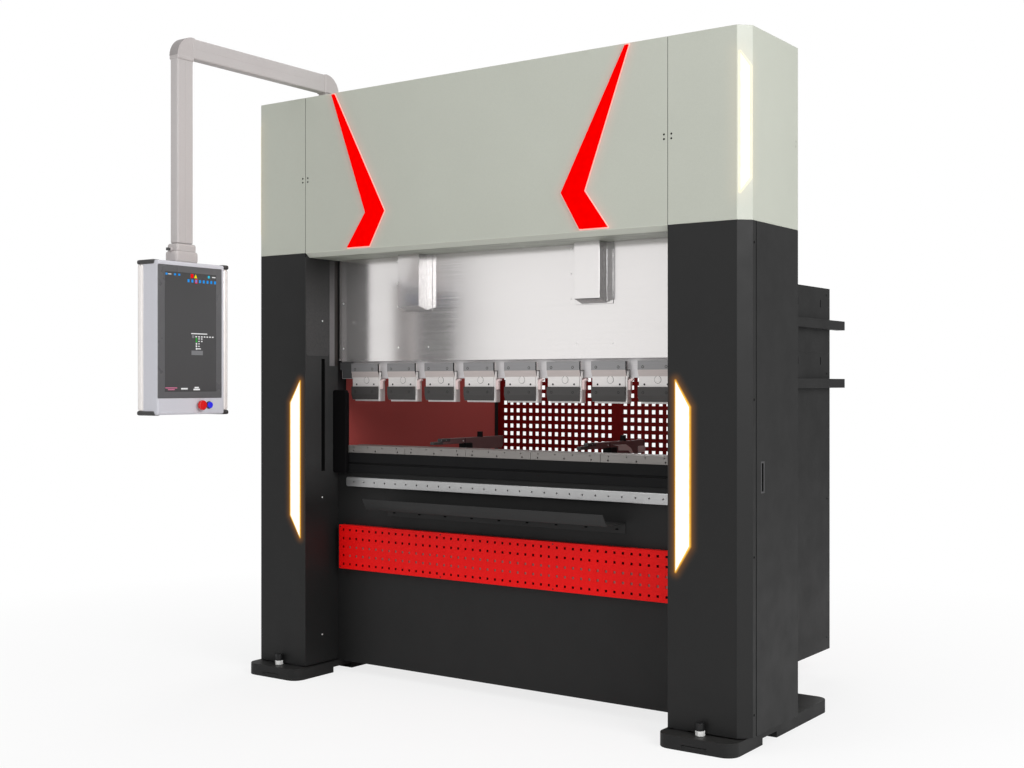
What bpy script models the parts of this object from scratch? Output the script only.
"""Press brake with a swinging control panel, guarded rear and driven back gauge.

Sizes are in metres. X runs along the bending line with zero at the machine's middle.
Y runs from the operator to the rear with zero at the front face of the columns.
Z is up from the floor. One root empty then shifts the machine so that its origin is
the middle of its footprint on the floor.
"""
import math

import bmesh
import bpy
from mathutils import Matrix, Vector

# ---- clearances -------------------------------------------------------------
GAP = 0.0003                     # between pieces that touch
RUN = 0.0008                     # beside pieces that slide or turn
OVER = 0.01                      # how far a cutter or a joined block runs past its face

# ---- driving sizes ----------------------------------------------------------
BAY_HALF = 0.899                 # middle to the inner face of a column
COLUMN_WIDTH = 0.315
COLUMN_TOP = 1.867
CHAMFER = 0.0414                 # 45 degree corner of the columns and the head
SHEET = 0.003                    # covers and doors
BED_TOP = 0.900                  # seat of the table beam
OPEN_HEIGHT = 0.197              # die rail to clamps with the ram up
RAM_TRAVEL = OPEN_HEIGHT - 0.007
REAR_Y = 1.471                   # back face of the rear enclosure
SIDE_X = BAY_HALF + COLUMN_WIDTH

# ---- feet -------------------------------------------------------------------
FOOT_INNER_X = BAY_HALF - 0.012
FOOT_WIDTH = COLUMN_WIDTH - 0.009
FOOT_FRONT = -0.071
FOOT_BACK = 0.788
FOOT_THICK = 0.050
FOOT_CORNER = 0.050
FORK_SLOT_FRONT = 0.168          # transport recess across the underside
FORK_SLOT_LENGTH = 0.121
FORK_SLOT_HEIGHT = 0.024
TOE_SLOT_WIDTH = 0.098           # slot in the front edge of a foot
TOE_SLOT_HEIGHT = 0.012
TOE_SLOT_DEPTH = 0.025
TOE_SLOT_Z = 0.009
ANCHOR_Y = -0.020
ANCHOR_NUT_R = 0.0185
ANCHOR_NUT_H = 0.020
ANCHOR_HEAD_R = 0.0155
ANCHOR_HEAD_H = 0.027
ANCHOR_NUT_SIDES = 6
ANCHOR_HEAD_SIDES = 8
FOOT_MID_X = FOOT_INNER_X + FOOT_WIDTH / 2

# ---- bed --------------------------------------------------------------------
WALL_REACH = 0.208               # depth of the columns' inner walls
BED_FRONT = WALL_REACH + GAP
BED_THICK = 0.060
TABLE_HALF = BAY_HALF - 0.019
TABLE_FRONT = WALL_REACH - 0.014
TABLE_DEPTH = 0.104
TABLE_TOP = BED_TOP + 0.087
GROOVE_Z = BED_TOP + 0.040
GROOVE_SIZE = 0.008
TOOL_HALF = BAY_HALF - 0.073     # half the bending length
DIE_RAIL_HEIGHT = 0.033
DIE_TOP = TABLE_TOP + DIE_RAIL_HEIGHT
DIE_SLOT_WIDTH = 0.020
DIE_SLOT_DEPTH = 0.016
BEND_Y = TABLE_FRONT + TABLE_DEPTH / 2
SUPPORT_RAIL_HEIGHT = 0.042
SUPPORT_RAIL_Z = BED_TOP - 0.063
SUPPORT_RAIL_FRONT = WALL_REACH - 0.025
TRAY_HALF = TOOL_HALF - 0.224
TRAY_LIP_TOP = SUPPORT_RAIL_Z - 0.037
TRAY_FLOOR_Z = TRAY_LIP_TOP - 0.046
TRAY_FLANGE_Z = TRAY_FLOOR_Z - 0.039
TRAY_LIP_Y = WALL_REACH - 0.171
TRAY_FOLD_Y = WALL_REACH - 0.144
TRAY_SHEET = 0.002
TRAY_LEAN = 1.17                 # level width of the leaning lip, per unit of sheet
BOARD_HALF = BAY_HALF - 0.037
BOARD_FRONT = WALL_REACH - 0.031
BOARD_HEIGHT = 0.195
BOARD_BOTTOM = TRAY_FLANGE_Z - 0.051 - BOARD_HEIGHT
BOARD_SHEET = 0.002

# ---- ram and clamps ---------------------------------------------------------
CLAMP_DROP = 0.100               # clamps hang this far below the ram
CLAMP_BOTTOM = DIE_TOP + OPEN_HEIGHT
RAM_BOTTOM = CLAMP_BOTTOM + CLAMP_DROP
RAM_HALF = BAY_HALF - 0.006
RAM_PANEL_HALF = BAY_HALF - 0.009
RAM_PANEL_CORNER = 0.020
RAM_PANEL_FRONT = WALL_REACH + 0.002
RAM_FRONT = RAM_PANEL_FRONT + SHEET + GAP
RAM_NOSE_FRONT = RAM_PANEL_FRONT + 0.020
RAM_BACK = RAM_NOSE_FRONT + 0.060
CLAMP_TOP = RAM_BOTTOM + 0.066
RAM_PANEL_BOTTOM = CLAMP_TOP + 0.010
RAM_STEP_Z = RAM_PANEL_BOTTOM + 0.005
RAM_TOP_COVER = 0.020            # hidden by the head at full stroke
CLAMP_COUNT = 8
CLAMP_PITCH = (2 * TOOL_HALF + 0.030) / CLAMP_COUNT
CLAMP_WIDTH = 0.177
CLAMP_SHIFT = 0.0085             # clamps' middles beside the marks that share the line evenly
CLAMP_FRONT = RAM_NOSE_FRONT - 0.024
CLAMP_BACK = RAM_NOSE_FRONT + 0.032
CLAMP_PLATE_HEIGHT = 0.061
CLAMP_PLATE_BEVEL = 0.029
CLAMP_NECK = 0.0085              # body set back from the clamping plates
CLAMP_JAW_BOTTOM = CLAMP_BOTTOM + 0.007
CLAMP_JAW_TOP = CLAMP_BOTTOM + 0.065
CLAMP_JAW_BEVEL = 0.023
CLAMP_JAW_THICK = 0.0125
PUNCH_SLOT_WIDTH = 0.0135
PUNCH_SLOT_DEPTH = 0.028

# ---- head -------------------------------------------------------------------
LIP_DROP = 0.019                 # slanted lower edge of the head's front panel
LIP_DEPTH = 0.025
UNDERSIDE_Z = COLUMN_TOP - LIP_DROP
HEAD_UNDERSIDE_BACK = WALL_REACH - 0.004
RAM_TOP = UNDERSIDE_Z + SHEET + RAM_TRAVEL + RAM_TOP_COVER
CYLINDER_CLEAR = 0.014           # ram's top to the cylinder
CYLINDER_HALF = 0.055
CYLINDER_DEPTH = 0.100
CYLINDER_Y = RAM_NOSE_FRONT + 0.020
ROD_R = 0.030
ROD_HELD = 0.116                 # rod left in the cylinder at full stroke
ROD_LENGTH = CYLINDER_CLEAR + RAM_TRAVEL + ROD_HELD
BORE_REACH = ROD_LENGTH - CYLINDER_CLEAR + 0.039
CYLINDER_HEIGHT = BORE_REACH + 0.070
CYLINDER_BOTTOM = RAM_TOP + CYLINDER_CLEAR
CROSSHEAD_THICK = 0.080
CROSSHEAD_HEIGHT = CYLINDER_HEIGHT - 0.005
CROSSHEAD_FRONT = CYLINDER_Y + CYLINDER_DEPTH / 2 + GAP
HEAD_ROOM = 0.058                # cylinders to the roof's upper face
HEAD_TOP = CYLINDER_BOTTOM + CYLINDER_HEIGHT + HEAD_ROOM
HOUSING_DEPTH = CROSSHEAD_FRONT + CROSSHEAD_THICK + 0.0527
ACCENT_THICK = 0.008

# ---- drive covers -----------------------------------------------------------
DRIVE_X = 0.450
DRIVE_COVER_SHIFT = 0.0105       # both covers stand this far to the right of the cylinders
DRIVE_COVER_HALF = 0.058
DRIVE_COVER_FRONT = RAM_PANEL_FRONT - 0.059
DRIVE_COVER_BOTTOM = UNDERSIDE_Z - 0.239
DRIVE_COVER_SLANT = 0.017
DRIVE_FLANGE = 0.028

# ---- side frames ------------------------------------------------------------
FRAME_THICK = 0.060
FRAME_WEB = 0.020
FRAME_IN = BAY_HALF + 0.0223
FRAME_OUT = FRAME_IN + FRAME_THICK
FRAME_FRONT = SHEET + GAP
FRAME_BACK = HOUSING_DEPTH - SHEET - GAP

# ---- columns and lamps ------------------------------------------------------
COVER_BOTTOM = FOOT_THICK + 0.005
DOOR_SEAM = 0.069
DOOR_PULL_Y = DOOR_SEAM + 0.054
DOOR_PULL_Z = BED_TOP + 0.062
DOOR_PULL_WIDTH = 0.013
DOOR_PULL_HEIGHT = 0.100
WALL_SLOT_Y = 0.1135             # light slot in the inner wall of a column
WALL_SLOT_WIDTH = 0.023
WALL_SLOT_BOTTOM = BED_TOP + 0.005
WALL_SLOT_HEIGHT = 0.500
LAMP_PROUD = 0.002
COLUMN_LAMP_X = BAY_HALF + 0.032
COLUMN_LAMP_WIDTH = 0.0586
COLUMN_LAMP_MID_Z = 0.962
COLUMN_LAMP_LONG = 0.687         # edge nearer the bay
COLUMN_LAMP_SHORT = 0.498
HEAD_LAMP_MARGIN = 0.19          # share of the chamfer left beside the lamp
HEAD_LAMP_WIDTH = 0.67
HEAD_LAMP_MID_Z = COLUMN_TOP + 0.342
HEAD_LAMP_LONG = 0.487
HEAD_LAMP_SHORT = 0.390

# ---- side guards and rear enclosure -----------------------------------------
GUARD_WIDTH = 0.079
GUARD_FRONT = TABLE_FRONT - 0.019
GUARD_BACK = CLAMP_FRONT - RUN   # beside and above the die rail, where the guard is deeper
GUARD_BOTTOM = BED_TOP - 0.004
GUARD_HEIGHT = 0.370
GUARD_CORNER = 0.012
WALL_X = FRAME_IN - GAP
WALL_FRONT = BED_FRONT + BED_THICK + 0.0117
WALL_BOTTOM = FOOT_THICK + 0.055
WALL_TOP = 1.720
ARM_LOW_Z = WALL_TOP - 0.444
ARM_HIGH_Z = WALL_TOP - 0.184
ARM_HEIGHT = 0.040
ARM_DEPTH = 0.036
ARM_REACH = REAR_Y + 0.089
CENTRE_HALF = 0.182
REAR_RAIL = 0.040
REAR_RAIL_DEPTH = 0.030

# ---- back gauge -------------------------------------------------------------
FINGER_Z = DIE_TOP + 0.008       # underside of the stop faces at rest
FINGER_HALF = 0.010
FINGER_TIP_Y = CLAMP_BACK + 0.006
FINGER_TIP_STEP = 0.0535         # upper stop face behind the lower one
FINGER_TIP_THICK = 0.0125
FINGER_TOP = FINGER_Z + 0.0255
FINGER_BACK = FINGER_TIP_Y + 0.519
FINGER_LEFT_X = -0.404
FINGER_RIGHT_X = 0.349
FINGER_HEEL_Y = FINGER_TIP_Y + 0.282     # deeper part behind the beam
FINGER_HEEL_DROP = 0.030
FINGER_HEEL_CUT = 0.014
FINGER_FOOT_HALF = 0.020
FINGER_FOOT_FRONT = FINGER_TIP_Y + 0.218
FINGER_FOOT_BACK = FINGER_FOOT_FRONT + 0.050
FINGER_FOOT_Z = FINGER_Z - 0.038
FINGER_FOOT_LAP = 0.002          # how far the foot reaches up round the finger
FINGER_POST = 0.020
FINGER_POST_Y = FINGER_TIP_Y + 0.350
FINGER_POST_TOP = FINGER_TOP + 0.024
GAUGE_BEAM_HALF = WALL_X - 0.121
GAUGE_BEAM_DEPTH = 0.080
GAUGE_BEAM_HEIGHT = 0.100
GAUGE_BEAM_BACK = FINGER_FOOT_BACK + 0.006
GAUGE_POST_FRONT = GAUGE_BEAM_BACK + RUN
GAUGE_POST_DEPTH = 0.060
GAUGE_POST_TOP = FINGER_FOOT_Z - 0.005
GAUGE_TIE_HEIGHT = 0.060
GAUGE_RAIL_X = GAUGE_BEAM_HALF - 0.100
GAUGE_RAIL_WIDTH = 0.080
GAUGE_RAIL_TOP = FINGER_Z - 0.228
GAUGE_RAIL_HEIGHT = 0.100
GAUGE_RAIL_END = REAR_Y - 0.051

# ---- control panel and its arm ----------------------------------------------
MAST_X = -BAY_HALF - 0.104
MAST_Y = 0.258
DROP_Y = -0.605
TUBE_WIDTH = 0.048
TUBE_DEPTH = 0.085
TUBE_BEND = 0.080
TUBE_INNER_BEND = 0.01625
BOOM_TOP = HEAD_TOP + 0.155
PAD_R = 0.062
PAD_HEIGHT = 0.008
PANEL_BACK_X = MAST_X - 0.079
PANEL_FACE_X = MAST_X + 0.043
PANEL_FRONT_Y = DROP_Y - 0.165
PANEL_REAR_Y = DROP_Y + 0.219
PANEL_BOTTOM = 1.167
PANEL_TOP = 1.788
COLLAR_HALF_X = 0.030
COLLAR_HALF_Y = 0.050
COLLAR_HEIGHT = 0.073
DROP_BOTTOM = PANEL_TOP + COLLAR_HEIGHT
SCREEN_FRONT_Y = PANEL_FRONT_Y + 0.008
SCREEN_REAR_Y = PANEL_REAR_Y - 0.051
SCREEN_BOTTOM = PANEL_BOTTOM + 0.079
SCREEN_TOP = PANEL_TOP - 0.024
SCREEN_THICK = 0.003
BUTTON_Z = PANEL_BOTTOM + 0.040
STOP_Y = DROP_Y + 0.0555
STOP_R = 0.020
STOP_STEM_R = 0.011
STOP_HEIGHT = 0.026
STOP_TRAVEL = 0.004
START_Y = STOP_Y + 0.050
START_R = 0.0125
START_STEM_R = 0.008
START_HEIGHT = 0.012
START_TRAVEL = 0.003
BUTTON_BORE = 0.016

# ---- how round things are ---------------------------------------------------
ROUND_SIDES = 24
BEND_STEPS = 6

# ---- footprint --------------------------------------------------------------
MIDDLE_Y = (PANEL_FRONT_Y + ARM_REACH) / 2


# ---- scene and materials ----------------------------------------------------
def clear_scene():
    for obj in list(bpy.data.objects):
        bpy.data.objects.remove(obj, do_unlink=True)


def finish(name, colour, roughness, metallic):
    material = bpy.data.materials.new(name)
    material.use_nodes = True
    shader = material.node_tree.nodes["Principled BSDF"]
    shader.inputs["Base Color"].default_value = (*colour, 1.0)
    shader.inputs["Roughness"].default_value = roughness
    shader.inputs["Metallic"].default_value = metallic
    return material


def make_finishes():
    return {
        "sage": finish("sage_paint", (0.37, 0.38, 0.33), 0.45, 0.0),
        "black": finish("anthracite_paint", (0.035, 0.035, 0.035), 0.5, 0.0),
        "cast": finish("frame_paint", (0.03, 0.03, 0.032), 0.6, 0.0),
        "red": finish("red_paint", (0.50, 0.012, 0.012), 0.45, 0.0),
        "steel": finish("brushed_steel", (0.60, 0.60, 0.60), 0.35, 1.0),
        "ground": finish("ground_steel", (0.45, 0.44, 0.43), 0.4, 1.0),
        "chrome": finish("hard_chrome", (0.80, 0.80, 0.82), 0.1, 1.0),
        "alloy": finish("clamp_alloy", (0.70, 0.68, 0.67), 0.4, 1.0),
        "arm": finish("arm_paint", (0.48, 0.45, 0.44), 0.4, 0.0),
        "shell": finish("panel_alloy", (0.52, 0.52, 0.55), 0.4, 0.3),
        "screen": finish("screen_glass", (0.07, 0.07, 0.07), 0.15, 0.0),
        "lamp": finish("lamp_diffuser", (1.0, 0.86, 0.45), 0.4, 0.0),
        "glow": finish("accent_diffuser", (0.9, 0.01, 0.01), 0.4, 0.0),
        "stop": finish("stop_red", (0.65, 0.02, 0.02), 0.3, 0.0),
        "start": finish("start_blue", (0.03, 0.04, 0.75), 0.3, 0.0),
    }


# ---- pivots and placing -----------------------------------------------------
def make_pivot(name, point, parent=None):
    """An empty on a joint's axis, at a point in the machine's own coordinates."""
    pivot = bpy.data.objects.new(name, None)
    bpy.context.scene.collection.objects.link(pivot)
    pivot["point"] = point
    if parent is None:
        pivot.location = (0.0, -MIDDLE_Y, 0.0)
    else:
        pivot.parent = parent
        pivot.location = Vector(point) - Vector(parent["point"])
    return pivot


def add_piece(name, mesh, material, pivot):
    """Link a mesh made in machine coordinates and hang it on its pivot."""
    mesh.name = name
    piece = bpy.data.objects.new(name, mesh)
    bpy.context.scene.collection.objects.link(piece)
    mesh.transform(Matrix.Translation(-Vector(pivot["point"])))
    piece.parent = pivot
    if material is not None:
        mesh.materials.append(material)
    return piece


def add_tool(name, mesh, pivot):
    """A hidden helper solid for a Boolean."""
    tool = add_piece(name, mesh, None, pivot)
    tool.hide_render = True
    tool.display_type = "WIRE"
    return tool


def combine(piece, mesh, operation):
    tool = add_tool(piece.name + "_tool", mesh, piece.parent)
    step = piece.modifiers.new(operation.lower(), "BOOLEAN")
    step.operation = operation
    step.object = tool


def cut(piece, mesh):
    combine(piece, mesh, "DIFFERENCE")


def join(piece, mesh):
    combine(piece, mesh, "UNION")


# ---- shapes -----------------------------------------------------------------
def to_mesh(bm):
    bmesh.ops.recalc_face_normals(bm, faces=bm.faces[:])
    mesh = bpy.data.meshes.new("shape")
    bm.to_mesh(mesh)
    bm.free()
    return mesh


def block(x, y, z):
    """A box from three (low, high) pairs."""
    bm = bmesh.new()
    bmesh.ops.create_cube(bm, size=1.0)
    size = Vector((abs(x[1] - x[0]), y[1] - y[0], z[1] - z[0]))
    middle = Vector(((x[0] + x[1]) / 2, (y[0] + y[1]) / 2, (z[0] + z[1]) / 2))
    bmesh.ops.scale(bm, vec=size, verts=bm.verts[:])
    bmesh.ops.translate(bm, vec=middle, verts=bm.verts[:])
    return to_mesh(bm)


def extrude(outline, axis, low, high):
    """Extrude a flat outline along X, Y or Z; its points are the other two coordinates."""
    bm = bmesh.new()
    index = "XYZ".index(axis)
    ring = []
    for first, second in outline:
        point = [first, second]
        point.insert(index, low)
        ring.append(bm.verts.new(point))
    face = bm.faces.new(ring)
    side = bmesh.ops.extrude_face_region(bm, geom=[face])
    moved = [item for item in side["geom"] if isinstance(item, bmesh.types.BMVert)]
    step = Vector((0.0, 0.0, 0.0))
    step[index] = high - low
    bmesh.ops.translate(bm, vec=step, verts=moved)
    return to_mesh(bm)


def rod(centre, radius, axis, low, high, sides=ROUND_SIDES):
    """A round bar along an axis; the centre is its other two coordinates."""
    ring = []
    for step in range(sides):
        angle = 2 * math.pi * (step + 0.5) / sides
        ring.append((centre[0] + radius * math.cos(angle), centre[1] + radius * math.sin(angle)))
    return extrude(ring, axis, low, high)


def rounded(low, high, radii):
    """A rectangle whose corners, from the low one anticlockwise, have these radii."""
    corners = [(low[0], low[1], 180), (high[0], low[1], 270), (high[0], high[1], 0), (low[0], high[1], 90)]
    points = []
    for (u, v, start), radius in zip(corners, radii):
        if radius == 0:
            points.append((u, v))
            continue
        cu = u + radius if u == low[0] else u - radius
        cv = v + radius if v == low[1] else v - radius
        for step in range(BEND_STEPS + 1):
            angle = math.radians(start + 90 * step / BEND_STEPS)
            points.append((cu + radius * math.cos(angle), cv + radius * math.sin(angle)))
    return points


def corner_run(inset):
    """Front, chamfer and side of a housing corner, moved inwards by inset."""
    slant = inset * math.tan(math.radians(45 / 2))
    return [
        (SIDE_X - CHAMFER - slant, inset),
        (SIDE_X - inset, CHAMFER + slant),
    ]


def sided(outline, side):
    return [(u * side, v) for u, v in outline]


def span(low, high, side):
    return tuple(sorted((low * side, high * side)))


# ---- feet and frames --------------------------------------------------------
def build_foot(name, side, black, steel, root):
    low_x, high_x = span(FOOT_INNER_X, FOOT_INNER_X + FOOT_WIDTH, side)
    outline = rounded((low_x, FOOT_FRONT), (high_x, FOOT_BACK), [FOOT_CORNER] * 4)
    foot = add_piece("foot_" + name, extrude(outline, "Z", 0.0, FOOT_THICK), black, root)
    slot_y = (FORK_SLOT_FRONT, FORK_SLOT_FRONT + FORK_SLOT_LENGTH)
    cut(foot, block((low_x - OVER, high_x + OVER), slot_y, (-OVER, FORK_SLOT_HEIGHT)))
    toe_x = span(FOOT_MID_X - TOE_SLOT_WIDTH / 2, FOOT_MID_X + TOE_SLOT_WIDTH / 2, side)
    toe_z = (TOE_SLOT_Z, TOE_SLOT_Z + TOE_SLOT_HEIGHT)
    cut(foot, block(toe_x, (FOOT_FRONT - OVER, FOOT_FRONT + TOE_SLOT_DEPTH), toe_z))

    seat = FOOT_THICK + GAP
    centre = (FOOT_MID_X * side, ANCHOR_Y)
    nut = rod(centre, ANCHOR_NUT_R, "Z", seat, seat + ANCHOR_NUT_H, ANCHOR_NUT_SIDES)
    anchor = add_piece("anchor_" + name, nut, steel, root)
    head_top = seat + ANCHOR_NUT_H + ANCHOR_HEAD_H
    head = rod(centre, ANCHOR_HEAD_R, "Z", seat + ANCHOR_NUT_H / 2, head_top, ANCHOR_HEAD_SIDES)
    join(anchor, head)


def build_frame(name, side, material, root):
    """Side plate with the web that closes the back of its column."""
    plan = [
        (FRAME_IN, FRAME_FRONT),
        (FRAME_OUT, FRAME_FRONT),
        (FRAME_OUT, FRAME_BACK - FRAME_WEB),
        (SIDE_X - SHEET - GAP, FRAME_BACK - FRAME_WEB),
        (SIDE_X - SHEET - GAP, FRAME_BACK),
        (FRAME_IN, FRAME_BACK),
    ]
    shape = extrude(sided(plan, side), "Z", FOOT_THICK + GAP, HEAD_TOP - SHEET - GAP)
    add_piece("frame_" + name, shape, material, root)


def build_crosshead(material, root):
    shape = block(
        (-FRAME_IN + GAP, FRAME_IN - GAP),
        (CROSSHEAD_FRONT, CROSSHEAD_FRONT + CROSSHEAD_THICK),
        (CYLINDER_BOTTOM, CYLINDER_BOTTOM + CROSSHEAD_HEIGHT),
    )
    add_piece("crosshead", shape, material, root)


# ---- column covers, doors and lamps -----------------------------------------
def tapered(near, width, middle, lengths, grow):
    """Outline with a long near edge and a short far edge, grown outwards on every side."""
    long_half, short_half = lengths[0] / 2, lengths[1] / 2
    slope = (long_half - short_half) / width
    rise = grow * math.hypot(1.0, slope)
    near_half = long_half + rise + slope * grow
    far_half = short_half + rise - slope * grow
    far = near + width + grow
    near -= grow
    return [
        (near, middle - near_half),
        (near, middle + near_half),
        (far, middle + far_half),
        (far, middle - far_half),
    ]


def column_window(grow):
    lengths = (COLUMN_LAMP_LONG, COLUMN_LAMP_SHORT)
    return tapered(COLUMN_LAMP_X, COLUMN_LAMP_WIDTH, COLUMN_LAMP_MID_Z, lengths, grow)


def build_column(name, side, finishes, root, hinge):
    outer = corner_run(0.0)
    inner = corner_run(SHEET)
    plan = [(BAY_HALF, WALL_REACH), (BAY_HALF, 0.0), *outer, (SIDE_X, DOOR_SEAM - GAP)]
    plan += [(SIDE_X - SHEET, DOOR_SEAM - GAP), inner[1], inner[0]]
    plan += [(BAY_HALF + SHEET, SHEET), (BAY_HALF + SHEET, WALL_REACH)]
    shape = extrude(sided(plan, side), "Z", COVER_BOTTOM, COLUMN_TOP - GAP)
    cover = add_piece("column_cover_" + name, shape, finishes["black"], root)
    cut(cover, extrude(sided(column_window(GAP), side), "Y", -OVER, OVER))
    slot_y = (WALL_SLOT_Y - WALL_SLOT_WIDTH / 2, WALL_SLOT_Y + WALL_SLOT_WIDTH / 2)
    slot_x = span(BAY_HALF - OVER, BAY_HALF + SHEET + OVER, side)
    cut(cover, block(slot_x, slot_y, (WALL_SLOT_BOTTOM, WALL_SLOT_BOTTOM + WALL_SLOT_HEIGHT)))

    lens = extrude(sided(column_window(0.0), side), "Y", -LAMP_PROUD, SHEET)
    add_piece("column_lamp_" + name, lens, finishes["lamp"], root)

    door_x = span(SIDE_X - SHEET, SIDE_X, side)
    shape = block(door_x, (DOOR_SEAM, HOUSING_DEPTH), (COVER_BOTTOM, COLUMN_TOP - GAP))
    door = add_piece("side_door_" + name, shape, finishes["black"], hinge)
    pull_y = (DOOR_PULL_Y - DOOR_PULL_WIDTH / 2, DOOR_PULL_Y + DOOR_PULL_WIDTH / 2)
    pull_z = (DOOR_PULL_Z - DOOR_PULL_HEIGHT / 2, DOOR_PULL_Z + DOOR_PULL_HEIGHT / 2)
    cut(door, block(span(SIDE_X - OVER, SIDE_X + OVER, side), pull_y, pull_z))


# ---- head -------------------------------------------------------------------
def build_head_front(material, root):
    half = BAY_HALF - GAP
    lip_inner = SHEET * math.tan(math.atan2(LIP_DROP, LIP_DEPTH) / 2)
    profile = [
        (0.0, HEAD_TOP),
        (0.0, COLUMN_TOP),
        (LIP_DEPTH, UNDERSIDE_Z),
        (HEAD_UNDERSIDE_BACK, UNDERSIDE_Z),
        (HEAD_UNDERSIDE_BACK, UNDERSIDE_Z + SHEET),
        (LIP_DEPTH + lip_inner, UNDERSIDE_Z + SHEET),
        (SHEET, COLUMN_TOP + lip_inner),
        (SHEET, HEAD_TOP),
    ]
    panel = add_piece("head_front", extrude(profile, "X", -half, half), material, root)
    reach = DRIVE_COVER_HALF + SHEET
    for side in (-1, 1):
        middle = side * DRIVE_X + DRIVE_COVER_SHIFT
        notch_x = (middle - reach, middle + reach)
        notch_y = (DRIVE_COVER_FRONT - SHEET, HEAD_UNDERSIDE_BACK + OVER)
        cut(panel, block(notch_x, notch_y, (UNDERSIDE_Z - OVER, UNDERSIDE_Z + SHEET + OVER)))


def head_window(grow):
    """Lamp outline along the chamfer and in Z, from the edge nearer the front."""
    face = CHAMFER * math.sqrt(2)
    lengths = (HEAD_LAMP_LONG, HEAD_LAMP_SHORT)
    return tapered(face * HEAD_LAMP_MARGIN, face * HEAD_LAMP_WIDTH, HEAD_LAMP_MID_Z, lengths, grow)


def on_chamfer(mesh, side):
    """Turn a plate made along X in the front plane onto the chamfer."""
    turn = Matrix.Rotation(math.radians(45 * side), 4, "Z")
    start = Matrix.Translation((side * (SIDE_X - CHAMFER), 0.0, 0.0))
    mesh.transform(start @ turn)
    return mesh


def build_head_shell(name, side, finishes, root):
    outer = corner_run(0.0)
    inner = corner_run(SHEET)
    plan = [(BAY_HALF + GAP, 0.0), *outer, (SIDE_X, HOUSING_DEPTH), (SIDE_X - SHEET, HOUSING_DEPTH)]
    plan += [inner[1], inner[0], (BAY_HALF + GAP, SHEET)]
    shell = add_piece("head_shell_" + name, extrude(sided(plan, side), "Z", COLUMN_TOP, HEAD_TOP),
                      finishes["sage"], root)
    window = extrude(sided(head_window(GAP), side), "Y", -OVER, OVER)
    cut(shell, on_chamfer(window, side))
    lens = extrude(sided(head_window(0.0), side), "Y", -LAMP_PROUD, SHEET)
    add_piece("head_lamp_" + name, on_chamfer(lens, side), finishes["lamp"], root)


def build_head_roof(material, root):
    """Roof sheet folded down into the back panel, with the pad that the arm turns on."""
    run = corner_run(SHEET + GAP)
    right = [(run[0][0], run[0][1]), (run[1][0], run[1][1]), (run[1][0], HOUSING_DEPTH)]
    left = [(-x, y) for x, y in reversed(right)]
    roof = add_piece("head_roof", extrude(right + left, "Z", HEAD_TOP - SHEET, HEAD_TOP), material, root)
    edge = SIDE_X - SHEET - GAP
    join(roof, block((-edge, edge), (HOUSING_DEPTH - SHEET, HOUSING_DEPTH), (COLUMN_TOP, HEAD_TOP)))
    join(roof, rod((MAST_X, MAST_Y), PAD_R, "Z", HEAD_TOP - SHEET, HEAD_TOP + PAD_HEIGHT))


def build_accent(name, side, material, root):
    """Bent light bar on the head's front: a long tapered arm over a short foot."""
    top = HEAD_TOP - 0.007
    knee = COLUMN_TOP + 0.152
    foot = COLUMN_TOP + 0.009
    inset = (0.161, 0.175, 0.456, 0.373, 0.251, 0.354)
    heights = (top, top, knee, foot, foot, knee)
    outline = [(BAY_HALF - step, z) for step, z in zip(inset, heights)]
    shape = extrude(sided(outline, side), "Y", -GAP - ACCENT_THICK, -GAP)
    add_piece("accent_" + name, shape, material, root)


# ---- bed --------------------------------------------------------------------
def build_bed(finishes, root):
    reach = FRAME_IN - GAP
    shape = block((-reach, reach), (BED_FRONT, BED_FRONT + BED_THICK), (FOOT_THICK + GAP, BED_TOP))
    add_piece("bed_plate", shape, finishes["black"], root)

    back = TABLE_FRONT + TABLE_DEPTH
    profile = [
        (TABLE_FRONT, BED_TOP + GAP),
        (TABLE_FRONT, GROOVE_Z - GROOVE_SIZE / 2),
        (TABLE_FRONT + GROOVE_SIZE, GROOVE_Z - GROOVE_SIZE / 2),
        (TABLE_FRONT + GROOVE_SIZE, GROOVE_Z + GROOVE_SIZE / 2),
        (TABLE_FRONT, GROOVE_Z + GROOVE_SIZE / 2),
        (TABLE_FRONT, TABLE_TOP),
        (back, TABLE_TOP),
        (back, BED_TOP + GAP),
    ]
    shape = extrude(profile, "X", -TABLE_HALF, TABLE_HALF)
    add_piece("table_beam", shape, finishes["black"], root)

    slot = DIE_SLOT_WIDTH / 2
    profile = [
        (TABLE_FRONT, TABLE_TOP + GAP),
        (TABLE_FRONT, DIE_TOP),
        (BEND_Y - slot, DIE_TOP),
        (BEND_Y - slot, DIE_TOP - DIE_SLOT_DEPTH),
        (BEND_Y + slot, DIE_TOP - DIE_SLOT_DEPTH),
        (BEND_Y + slot, DIE_TOP),
        (back, DIE_TOP),
        (back, TABLE_TOP + GAP),
    ]
    add_piece("die_rail", extrude(profile, "X", -TOOL_HALF, TOOL_HALF), finishes["ground"], root)


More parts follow.
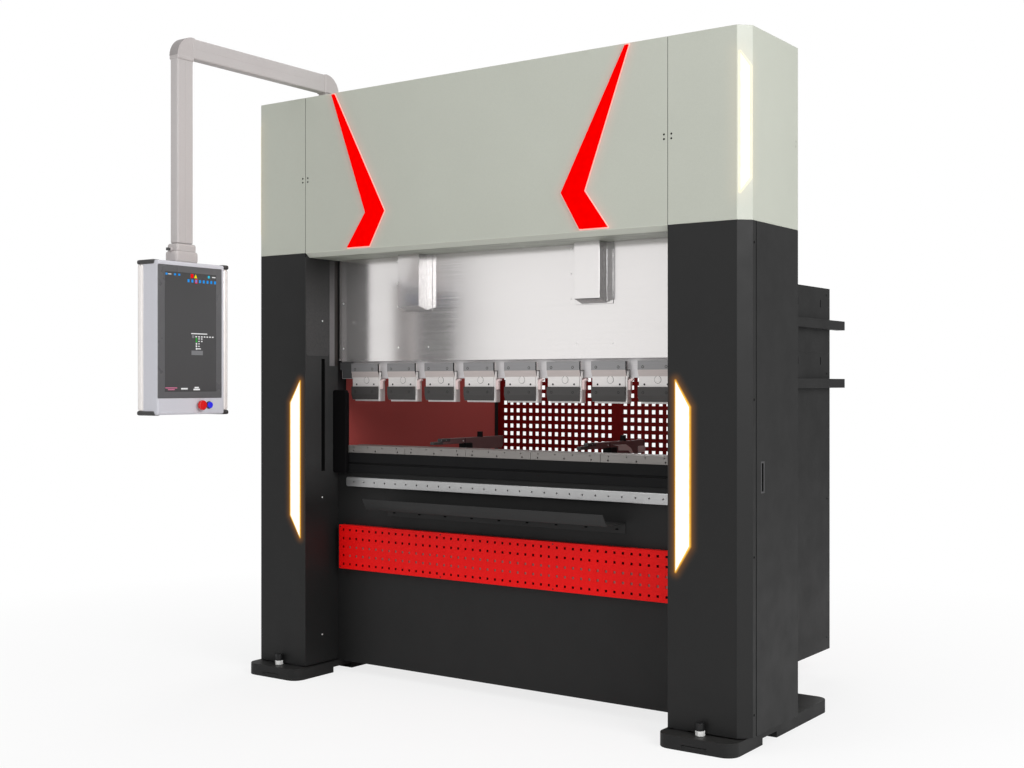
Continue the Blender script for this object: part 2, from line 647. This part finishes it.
def build_bed_fittings(finishes, root):
    rail_top = SUPPORT_RAIL_Z + SUPPORT_RAIL_HEIGHT
    round_end = SUPPORT_RAIL_HEIGHT / 4
    outline = rounded((-TOOL_HALF, SUPPORT_RAIL_Z), (TOOL_HALF, rail_top), [round_end] * 4)
    shape = extrude(outline, "Y", SUPPORT_RAIL_FRONT, WALL_REACH)
    add_piece("support_rail", shape, finishes["steel"], root)

    lean = TRAY_SHEET * TRAY_LEAN
    profile = [
        (TRAY_LIP_Y, TRAY_LIP_TOP),
        (TRAY_FOLD_Y, TRAY_FLOOR_Z),
        (WALL_REACH - TRAY_SHEET, TRAY_FLOOR_Z),
        (WALL_REACH - TRAY_SHEET, TRAY_FLANGE_Z),
        (WALL_REACH, TRAY_FLANGE_Z),
        (WALL_REACH, TRAY_FLOOR_Z + TRAY_SHEET),
        (TRAY_FOLD_Y + lean / 2, TRAY_FLOOR_Z + TRAY_SHEET),
        (TRAY_LIP_Y + lean, TRAY_LIP_TOP),
    ]
    add_piece("tool_tray", extrude(profile, "X", -TRAY_HALF, TRAY_HALF), finishes["black"], root)

    top = BOARD_BOTTOM + BOARD_HEIGHT
    shape = block((-BOARD_HALF, BOARD_HALF), (BOARD_FRONT, WALL_REACH), (BOARD_BOTTOM, top))
    board = add_piece("tool_board", shape, finishes["red"], root)
    inner = BOARD_HALF - BOARD_SHEET
    hollow = block(
        (-inner, inner),
        (BOARD_FRONT + BOARD_SHEET, WALL_REACH + OVER),
        (BOARD_BOTTOM + BOARD_SHEET, top - BOARD_SHEET),
    )
    cut(board, hollow)


# ---- ram and drive ----------------------------------------------------------
def build_ram(finishes, ram):
    profile = [
        (RAM_FRONT, RAM_TOP),
        (RAM_FRONT, RAM_STEP_Z),
        (RAM_NOSE_FRONT, RAM_STEP_Z),
        (RAM_NOSE_FRONT, RAM_BOTTOM),
        (RAM_BACK, RAM_BOTTOM),
        (RAM_BACK, RAM_TOP),
    ]
    add_piece("ram_beam", extrude(profile, "X", -RAM_HALF, RAM_HALF), finishes["cast"], ram)

    radii = [RAM_PANEL_CORNER, RAM_PANEL_CORNER, 0, 0]
    outline = rounded((-RAM_PANEL_HALF, RAM_PANEL_BOTTOM), (RAM_PANEL_HALF, RAM_TOP), radii)
    shape = extrude(outline, "Y", RAM_PANEL_FRONT, RAM_PANEL_FRONT + SHEET)
    add_piece("ram_panel", shape, finishes["steel"], ram)


def build_drive_cover(name, side, material, ram):
    """Folded cover open at the back, with side flanges and a slanted lower end."""
    back = RAM_PANEL_FRONT - GAP
    middle = side * DRIVE_X + DRIVE_COVER_SHIFT
    top = RAM_TOP - GAP
    profile = [
        (DRIVE_COVER_FRONT, DRIVE_COVER_BOTTOM + DRIVE_COVER_SLANT),
        (back, DRIVE_COVER_BOTTOM),
        (back, top),
        (DRIVE_COVER_FRONT, top),
    ]
    low, high = middle - DRIVE_COVER_HALF, middle + DRIVE_COVER_HALF
    cover = add_piece("drive_cover_" + name, extrude(profile, "X", low, high), material, ram)
    flange = DRIVE_COVER_HALF + DRIVE_FLANGE
    bottom = DRIVE_COVER_BOTTOM - SHEET
    join(cover, block((middle - flange, middle + flange), (back - SHEET, back), (bottom, top)))
    hollow = [
        (DRIVE_COVER_FRONT + SHEET, DRIVE_COVER_BOTTOM + DRIVE_COVER_SLANT + SHEET),
        (back + OVER, DRIVE_COVER_BOTTOM + SHEET),
        (back + OVER, top + OVER),
        (DRIVE_COVER_FRONT + SHEET, top + OVER),
    ]
    cut(cover, extrude(hollow, "X", low + SHEET, high - SHEET))


def build_drive(name, side, finishes, root, ram):
    middle = side * DRIVE_X
    shape = block(
        (middle - CYLINDER_HALF, middle + CYLINDER_HALF),
        (CYLINDER_Y - CYLINDER_DEPTH / 2, CYLINDER_Y + CYLINDER_DEPTH / 2),
        (CYLINDER_BOTTOM, CYLINDER_BOTTOM + CYLINDER_HEIGHT),
    )
    cylinder = add_piece("cylinder_" + name, shape, finishes["cast"], root)
    centre = (middle, CYLINDER_Y)
    bore_z = (CYLINDER_BOTTOM - OVER, CYLINDER_BOTTOM + BORE_REACH)
    cut(cylinder, rod(centre, ROD_R + GAP, "Z", *bore_z))
    foot = RAM_TOP + GAP
    add_piece("rod_" + name, rod(centre, ROD_R, "Z", foot, foot + ROD_LENGTH), finishes["chrome"], ram)


def clamp_profile():
    """Upper plate, set-back body, slotted lower jaw; the back part sits under the ram."""
    neck = CLAMP_FRONT + CLAMP_NECK
    jaw_back = CLAMP_FRONT + CLAMP_JAW_THICK
    slot_back = jaw_back + PUNCH_SLOT_WIDTH
    slot_top = CLAMP_BOTTOM + PUNCH_SLOT_DEPTH
    plate_bottom = CLAMP_TOP - CLAMP_PLATE_HEIGHT
    return [
        (RAM_NOSE_FRONT - GAP, CLAMP_TOP),
        (CLAMP_FRONT, CLAMP_TOP),
        (CLAMP_FRONT, plate_bottom + CLAMP_PLATE_BEVEL),
        (neck, plate_bottom),
        (neck, CLAMP_JAW_TOP),
        (CLAMP_FRONT, CLAMP_JAW_TOP),
        (CLAMP_FRONT, CLAMP_JAW_BOTTOM + CLAMP_JAW_BEVEL),
        (neck, CLAMP_JAW_BOTTOM),
        (jaw_back, CLAMP_JAW_BOTTOM),
        (jaw_back, slot_top),
        (slot_back, slot_top),
        (slot_back, CLAMP_BOTTOM),
        (CLAMP_BACK, CLAMP_BOTTOM),
        (CLAMP_BACK, RAM_BOTTOM - GAP),
        (RAM_NOSE_FRONT - GAP, RAM_BOTTOM - GAP),
    ]


def build_clamps(material, ram):
    profile = clamp_profile()
    for index in range(CLAMP_COUNT):
        middle = (index - (CLAMP_COUNT - 1) / 2) * CLAMP_PITCH + CLAMP_SHIFT
        shape = extrude(profile, "X", middle - CLAMP_WIDTH / 2, middle + CLAMP_WIDTH / 2)
        add_piece("clamp_%d" % (index + 1), shape, material, ram)


# ---- guards and rear enclosure ----------------------------------------------
def build_guard(name, side, material, root):
    low_x, high_x = span(BAY_HALF - GUARD_WIDTH, BAY_HALF - GAP, side)
    top = GUARD_BOTTOM + GUARD_HEIGHT
    outline = rounded((low_x, GUARD_BOTTOM), (high_x, top), [GUARD_CORNER] * 4)
    shape = extrude(outline, "Y", GUARD_FRONT, TABLE_FRONT - GAP)
    guard = add_piece("side_guard_" + name, shape, material, root)
    deep_x = span(TOOL_HALF + RUN, BAY_HALF - GAP, side)
    join(guard, block(deep_x, (GUARD_FRONT, GUARD_BACK), (DIE_TOP + GAP, top - GUARD_CORNER)))


def build_enclosure_wall(name, side, material, root):
    wall_x = span(WALL_X - SHEET, WALL_X, side)
    shape = block(wall_x, (WALL_FRONT, REAR_Y), (WALL_BOTTOM, WALL_TOP))
    wall = add_piece("rear_wall_" + name, shape, material, root)
    arm_x = span(WALL_X - SHEET / 2, WALL_X + ARM_DEPTH, side)
    for bottom in (ARM_LOW_Z, ARM_HIGH_Z):
        join(wall, block(arm_x, (HOUSING_DEPTH + RUN, ARM_REACH), (bottom, bottom + ARM_HEIGHT)))


def build_rear(finishes, root, hinges):
    """Fixed centre panel on two cross rails, and the two doors that close beside it."""
    top = WALL_TOP - SHEET
    bottom = WALL_BOTTOM + SHEET
    shape = block((-CENTRE_HALF, CENTRE_HALF), (REAR_Y - SHEET, REAR_Y), (bottom, top))
    frame = add_piece("rear_centre_panel", shape, finishes["red"], root)
    rail_half = WALL_X - SHEET - GAP
    rail_y = (REAR_Y - SHEET - GAP - REAR_RAIL_DEPTH, REAR_Y - SHEET - GAP)
    for low in (bottom, top - REAR_RAIL):
        join(frame, block((-rail_half, rail_half), rail_y, (low, low + REAR_RAIL)))
        tab_y = (REAR_Y - SHEET - GAP - REAR_RAIL_DEPTH / 2, REAR_Y - SHEET / 2)
        join(frame, block((-CENTRE_HALF, CENTRE_HALF), tab_y, (low, low + REAR_RAIL)))
    for name, side in (("left", -1), ("right", 1)):
        door_x = span(CENTRE_HALF + GAP, WALL_X - SHEET - GAP, side)
        shape = block(door_x, (REAR_Y - SHEET, REAR_Y), (bottom, top))
        add_piece("rear_door_" + name, shape, finishes["red"], hinges[name])


# ---- back gauge -------------------------------------------------------------
def build_gauge_base(material, root):
    """Two rails on the back of the bed, tied at both ends."""
    front = BED_FRONT + BED_THICK + GAP
    z = (GAUGE_RAIL_TOP - GAUGE_RAIL_HEIGHT, GAUGE_RAIL_TOP)
    half = GAUGE_RAIL_X + GAUGE_RAIL_WIDTH / 2
    base = add_piece("gauge_base", block((-half, half), (front, GAUGE_RAIL_END), z), material, root)
    inner = GAUGE_RAIL_X - GAUGE_RAIL_WIDTH / 2
    window_y = (front + GAUGE_RAIL_WIDTH, GAUGE_RAIL_END - GAUGE_RAIL_WIDTH)
    cut(base, block((-inner, inner), window_y, (z[0] - OVER, z[1] + OVER)))


def build_gauge_carriage(material, depth):
    """Tie bar with a post over each rail."""
    half = GAUGE_RAIL_X + GAUGE_RAIL_WIDTH / 2
    inner = GAUGE_RAIL_X - GAUGE_RAIL_WIDTH / 2
    foot = GAUGE_RAIL_TOP + GAP
    outline = [
        (-half, foot),
        (half, foot),
        (half, GAUGE_POST_TOP),
        (inner, GAUGE_POST_TOP),
        (inner, foot + GAUGE_TIE_HEIGHT),
        (-inner, foot + GAUGE_TIE_HEIGHT),
        (-inner, GAUGE_POST_TOP),
        (-half, GAUGE_POST_TOP),
    ]
    back = GAUGE_POST_FRONT + GAUGE_POST_DEPTH
    add_piece("gauge_carriage", extrude(outline, "Y", GAUGE_POST_FRONT, back), material, depth)


def build_gauge_beam(material, lift):
    top = FINGER_FOOT_Z - GAP
    shape = block(
        (-GAUGE_BEAM_HALF, GAUGE_BEAM_HALF),
        (GAUGE_BEAM_BACK - GAUGE_BEAM_DEPTH, GAUGE_BEAM_BACK),
        (top - GAUGE_BEAM_HEIGHT, top),
    )
    add_piece("gauge_beam", shape, material, lift)


def build_finger(name, middle, material, pivot):
    """Level bar with two stepped stop faces, a foot on the beam and a post for its lock."""
    step_z = FINGER_Z + FINGER_TIP_THICK
    heel_z = FINGER_Z - FINGER_HEEL_DROP
    profile = [
        (FINGER_TIP_Y, FINGER_Z),
        (FINGER_TIP_Y, step_z),
        (FINGER_TIP_Y + FINGER_TIP_STEP, step_z),
        (FINGER_TIP_Y + FINGER_TIP_STEP, FINGER_TOP),
        (FINGER_BACK, FINGER_TOP),
        (FINGER_BACK, heel_z + FINGER_HEEL_CUT),
        (FINGER_BACK - FINGER_HEEL_CUT, heel_z),
        (FINGER_HEEL_Y, heel_z),
        (FINGER_HEEL_Y, FINGER_Z),
    ]
    shape = extrude(profile, "X", middle - FINGER_HALF, middle + FINGER_HALF)
    finger = add_piece("gauge_finger_" + name, shape, material, pivot)
    foot_x = (middle - FINGER_FOOT_HALF, middle + FINGER_FOOT_HALF)
    foot_y = (FINGER_FOOT_FRONT, FINGER_FOOT_BACK)
    join(finger, block(foot_x, foot_y, (FINGER_FOOT_Z, FINGER_Z + FINGER_FOOT_LAP)))
    half = FINGER_POST / 2
    post_x = (middle - half + GAP, middle + half - GAP)
    post_y = (FINGER_POST_Y - half, FINGER_POST_Y + half)
    join(finger, block(post_x, post_y, (FINGER_TOP - OVER, FINGER_POST_TOP)))


# ---- control arm and panel --------------------------------------------------
def build_arm(material, swing):
    """One tube: up from the roof, forward over the front, and down to the panel."""
    half = TUBE_DEPTH / 2
    seat = HEAD_TOP + PAD_HEIGHT + GAP
    front, back = DROP_Y - half, MAST_Y + half
    outer = rounded((front, DROP_BOTTOM), (back, BOOM_TOP), [0, 0, TUBE_BEND, TUBE_BEND])
    outer[1] = (back, seat)
    drop_back, mast_front = DROP_Y + half, MAST_Y - half
    radii = [0, 0, TUBE_INNER_BEND, TUBE_INNER_BEND]
    inner = rounded((drop_back, DROP_BOTTOM), (mast_front, BOOM_TOP - TUBE_DEPTH), radii)
    inner[1] = (mast_front, seat)
    ring = outer[1:] + [outer[0], inner[0]] + inner[:0:-1]
    shape = extrude(ring, "X", MAST_X - TUBE_WIDTH / 2, MAST_X + TUBE_WIDTH / 2)
    add_piece("arm_tube", shape, material, swing)


def build_panel(finishes, turn):
    shape = block((PANEL_BACK_X, PANEL_FACE_X), (PANEL_FRONT_Y, PANEL_REAR_Y), (PANEL_BOTTOM, PANEL_TOP))
    panel = add_piece("panel_housing", shape, finishes["shell"], turn)
    collar = block(
        (MAST_X - COLLAR_HALF_X, MAST_X + COLLAR_HALF_X),
        (DROP_Y - COLLAR_HALF_Y, DROP_Y + COLLAR_HALF_Y),
        (PANEL_TOP - OVER, DROP_BOTTOM - GAP),
    )
    join(panel, collar)
    pocket = block(
        (PANEL_FACE_X - SCREEN_THICK - GAP, PANEL_FACE_X + OVER),
        (SCREEN_FRONT_Y - GAP, SCREEN_REAR_Y + GAP),
        (SCREEN_BOTTOM - GAP, SCREEN_TOP + GAP),
    )
    cut(panel, pocket)
    for middle, radius in ((STOP_Y, STOP_STEM_R), (START_Y, START_STEM_R)):
        bottom = PANEL_FACE_X - BUTTON_BORE
        cut(panel, rod((middle, BUTTON_Z), radius + GAP, "X", bottom, PANEL_FACE_X + OVER))

    shape = block(
        (PANEL_FACE_X - SCREEN_THICK, PANEL_FACE_X),
        (SCREEN_FRONT_Y, SCREEN_REAR_Y),
        (SCREEN_BOTTOM, SCREEN_TOP),
    )
    add_piece("panel_screen", shape, finishes["screen"], turn)


def build_button(name, middle, radius, stem_r, height, travel, material, pivot):
    """Head on a stem that runs in the panel's bore; it stands off by its travel."""
    centre = (middle, BUTTON_Z)
    seat = PANEL_FACE_X + travel + GAP
    stem_end = PANEL_FACE_X - BUTTON_BORE + travel + RUN
    stem = rod(centre, stem_r, "X", stem_end, seat + height / 2)
    button = add_piece(name, stem, material, pivot)
    join(button, rod(centre, radius, "X", seat, PANEL_FACE_X + height))


# ---- assembly ---------------------------------------------------------------
def main():
    clear_scene()
    finishes = make_finishes()
    root = make_pivot("machine", (0.0, 0.0, 0.0))
    ram = make_pivot("ram_axis", (0.0, CYLINDER_Y, RAM_BOTTOM), root)
    depth = make_pivot("gauge_depth_axis", (0.0, GAUGE_POST_FRONT, GAUGE_RAIL_TOP), root)
    lift = make_pivot("gauge_lift_axis", (0.0, GAUGE_POST_FRONT, FINGER_Z), depth)
    swing = make_pivot("arm_axis", (MAST_X, MAST_Y, HEAD_TOP + PAD_HEIGHT), root)
    turn = make_pivot("panel_axis", (MAST_X, DROP_Y, DROP_BOTTOM), swing)
    stop = make_pivot("stop_axis", (PANEL_FACE_X, STOP_Y, BUTTON_Z), turn)
    start = make_pivot("start_axis", (PANEL_FACE_X, START_Y, BUTTON_Z), turn)

    build_crosshead(finishes["cast"], root)
    build_head_front(finishes["sage"], root)
    build_head_roof(finishes["sage"], root)
    build_bed(finishes, root)
    build_bed_fittings(finishes, root)
    build_ram(finishes, ram)
    build_clamps(finishes["alloy"], ram)
    rear_hinges = {}
    for name, side in (("left", -1), ("right", 1)):
        hinge = make_pivot("side_hinge_" + name, (side * SIDE_X, HOUSING_DEPTH, COVER_BOTTOM), root)
        rear_point = (side * (WALL_X - SHEET - GAP), REAR_Y, WALL_BOTTOM)
        rear_hinges[name] = make_pivot("rear_hinge_" + name, rear_point, root)
        build_foot(name, side, finishes["black"], finishes["ground"], root)
        build_frame(name, side, finishes["cast"], root)
        build_column(name, side, finishes, root, hinge)
        build_head_shell(name, side, finishes, root)
        build_accent(name, side, finishes["glow"], root)
        build_drive_cover(name, side, finishes["steel"], ram)
        build_drive(name, side, finishes, root, ram)
        build_guard(name, side, finishes["black"], root)
        build_enclosure_wall(name, side, finishes["black"], root)
    build_rear(finishes, root, rear_hinges)
    build_gauge_base(finishes["cast"], root)
    build_gauge_carriage(finishes["cast"], depth)
    build_gauge_beam(finishes["cast"], lift)
    for name, middle in (("left", FINGER_LEFT_X), ("right", FINGER_RIGHT_X)):
        pivot = make_pivot("finger_axis_" + name, (middle, GAUGE_POST_FRONT, FINGER_Z), lift)
        build_finger(name, middle, finishes["black"], pivot)
    build_arm(finishes["arm"], swing)
    build_panel(finishes, turn)
    build_button("stop_button", STOP_Y, STOP_R, STOP_STEM_R, STOP_HEIGHT, STOP_TRAVEL,
                 finishes["stop"], stop)
    build_button("start_button", START_Y, START_R, START_STEM_R, START_HEIGHT, START_TRAVEL,
                 finishes["start"], start)


main()
